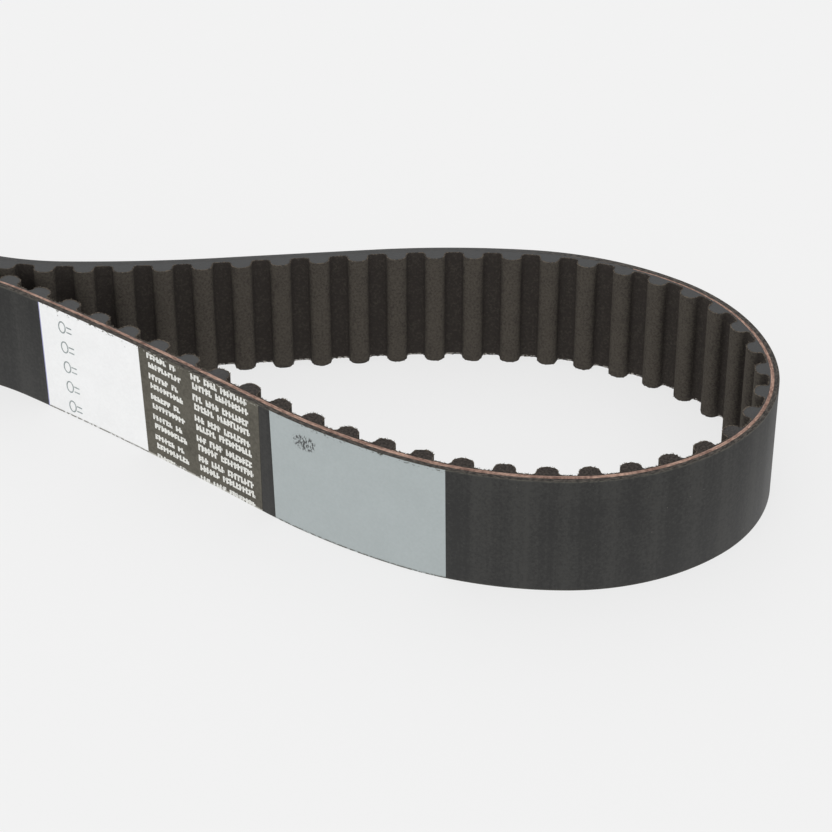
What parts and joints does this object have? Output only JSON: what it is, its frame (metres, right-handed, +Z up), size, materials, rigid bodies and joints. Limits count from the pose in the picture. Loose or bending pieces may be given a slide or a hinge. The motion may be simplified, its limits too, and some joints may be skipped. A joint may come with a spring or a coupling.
{
  "type": "toothed timing belt",
  "caption": "Endless rubber timing belt with rounded teeth on the inside, standing on its cut edge in a narrow-waisted loop, with printed panels on its back.",
  "frame": {"origin": "middle of the loop, on the lower cut edge", "axes": "+Z up along the belt's width, +X along the loop's long axis towards the end that carries the printed panels, +Y across the loop"},
  "size_m": [0.3956, 0.1192, 0.03],
  "materials": {
    "back_rubber": "smooth matte black moulded rubber",
    "tensile_cord": "copper-brown treated glass cord, cut at the belt's edges",
    "tooth_rubber": "dark grey rubber with a sawn surface at the edges",
    "facing_fabric": "matte woven fabric soaked in rubber, slightly furry",
    "white_ink": "matte printed film",
    "dark_ink": null,
    "grey_ink": "matte printed film"
  },
  "bodies": {
    "link_01": {"back_01": "back_rubber", "cord_01": "tensile_cord", "teeth_01": "tooth_rubber", "facing_01": "facing_fabric", "white_panel": "white_ink", "data_panel": "dark_ink"},
    "link_02": {"back_02": "back_rubber", "cord_02": "tensile_cord", "teeth_02": "tooth_rubber", "facing_02": "facing_fabric", "grey_panel": "grey_ink"},
    "link_03": {"back_03": "back_rubber", "cord_03": "tensile_cord", "teeth_03": "tooth_rubber", "facing_03": "facing_fabric"},
    "link_04": {"back_04": "back_rubber", "cord_04": "tensile_cord", "teeth_04": "tooth_rubber", "facing_04": "facing_fabric"},
    "link_05": {"back_05": "back_rubber", "cord_05": "tensile_cord", "teeth_05": "tooth_rubber", "facing_05": "facing_fabric"},
    "link_06": {"back_06": "back_rubber", "cord_06": "tensile_cord", "teeth_06": "tooth_rubber", "facing_06": "facing_fabric"},
    "link_07": {"back_07": "back_rubber", "cord_07": "tensile_cord", "teeth_07": "tooth_rubber", "facing_07": "facing_fabric"},
    "link_08": {"back_08": "back_rubber", "cord_08": "tensile_cord", "teeth_08": "tooth_rubber", "facing_08": "facing_fabric"},
    "link_09": {"back_09": "back_rubber", "cord_09": "tensile_cord", "teeth_09": "tooth_rubber", "facing_09": "facing_fabric"},
    "link_10": {"back_10": "back_rubber", "cord_10": "tensile_cord", "teeth_10": "tooth_rubber", "facing_10": "facing_fabric"},
    "link_11": {"back_11": "back_rubber", "cord_11": "tensile_cord", "teeth_11": "tooth_rubber", "facing_11": "facing_fabric"},
    "link_12": {"back_12": "back_rubber", "cord_12": "tensile_cord", "teeth_12": "tooth_rubber", "facing_12": "facing_fabric"}
  },
  "joints": [
    {"name": "tight_end_flex", "type": "hinge", "parent": "link_04", "child": "link_03", "pos_m": [0.19411, 0, 0.015], "axis": [0, 0, 1], "range_deg": [0, 24], "stiffness_Nm_per_rad": 0.05},
    {"name": "flex_05", "type": "hinge", "parent": "link_05", "child": "link_06", "pos_m": [0.05883, 0.01434, 0.015], "axis": [0, 0, 1], "range_deg": [0, 12.53]},
    {"name": "flex_06", "type": "hinge", "parent": "link_06", "child": "link_07", "pos_m": [-0.0153, 0.00846, 0.015], "axis": [0, 0, 1], "range_deg": [0, 22.61]},
    {"name": "flex_07", "type": "hinge", "parent": "link_07", "child": "link_08", "pos_m": [-0.08382, 0.04176, 0.015], "axis": [0, 0, 1], "range_deg": [0, 6.05]},
    {"name": "flex_08", "type": "hinge", "parent": "link_08", "child": "link_09", "pos_m": [-0.15702, 0.05626, 0.015], "axis": [0, 0, 1], "range_deg": [-12.77, 0]},
    {"name": "flex_09", "type": "hinge", "parent": "link_09", "child": "link_10", "pos_m": [-0.19411, 0, 0.015], "axis": [0, 0, 1], "range_deg": [-24.05, 0]},
    {"name": "flex_04", "type": "hinge", "parent": "link_05", "child": "link_04", "pos_m": [0.13227, 0.03396, 0.015], "axis": [0, 0, 1], "range_deg": [0, 4.37]},
    {"name": "flex_02", "type": "hinge", "parent": "link_03", "child": "link_02", "pos_m": [0.15702, -0.05626, 0.015], "axis": [0, 0, 1], "range_deg": [0, 12.77]},
    {"name": "flex_01", "type": "hinge", "parent": "link_02", "child": "link_01", "pos_m": [0.08382, -0.04176, 0.015], "axis": [0, 0, 1], "range_deg": [-6.05, 0]},
    {"name": "flex_12", "type": "hinge", "parent": "link_01", "child": "link_12", "pos_m": [0.0153, -0.00846, 0.015], "axis": [0, 0, 1], "range_deg": [-22.61, 0]},
    {"name": "flex_11", "type": "hinge", "parent": "link_12", "child": "link_11", "pos_m": [-0.05883, -0.01434, 0.015], "axis": [0, 0, 1], "range_deg": [-12.53, 0]}
  ],
  "couplings": [
    {"joint": "flex_05", "follows": "tight_end_flex", "ratio": 0.52},
    {"joint": "flex_06", "follows": "tight_end_flex", "ratio": 0.94},
    {"joint": "flex_07", "follows": "tight_end_flex", "ratio": 0.25},
    {"joint": "flex_08", "follows": "tight_end_flex", "ratio": -0.53},
    {"joint": "flex_09", "follows": "tight_end_flex", "ratio": -1},
    {"joint": "flex_04", "follows": "tight_end_flex", "ratio": 0.18},
    {"joint": "flex_02", "follows": "tight_end_flex", "ratio": 0.53},
    {"joint": "flex_01", "follows": "tight_end_flex", "ratio": -0.25},
    {"joint": "flex_12", "follows": "tight_end_flex", "ratio": -0.94},
    {"joint": "flex_11", "follows": "tight_end_flex", "ratio": -0.52}
  ]
}
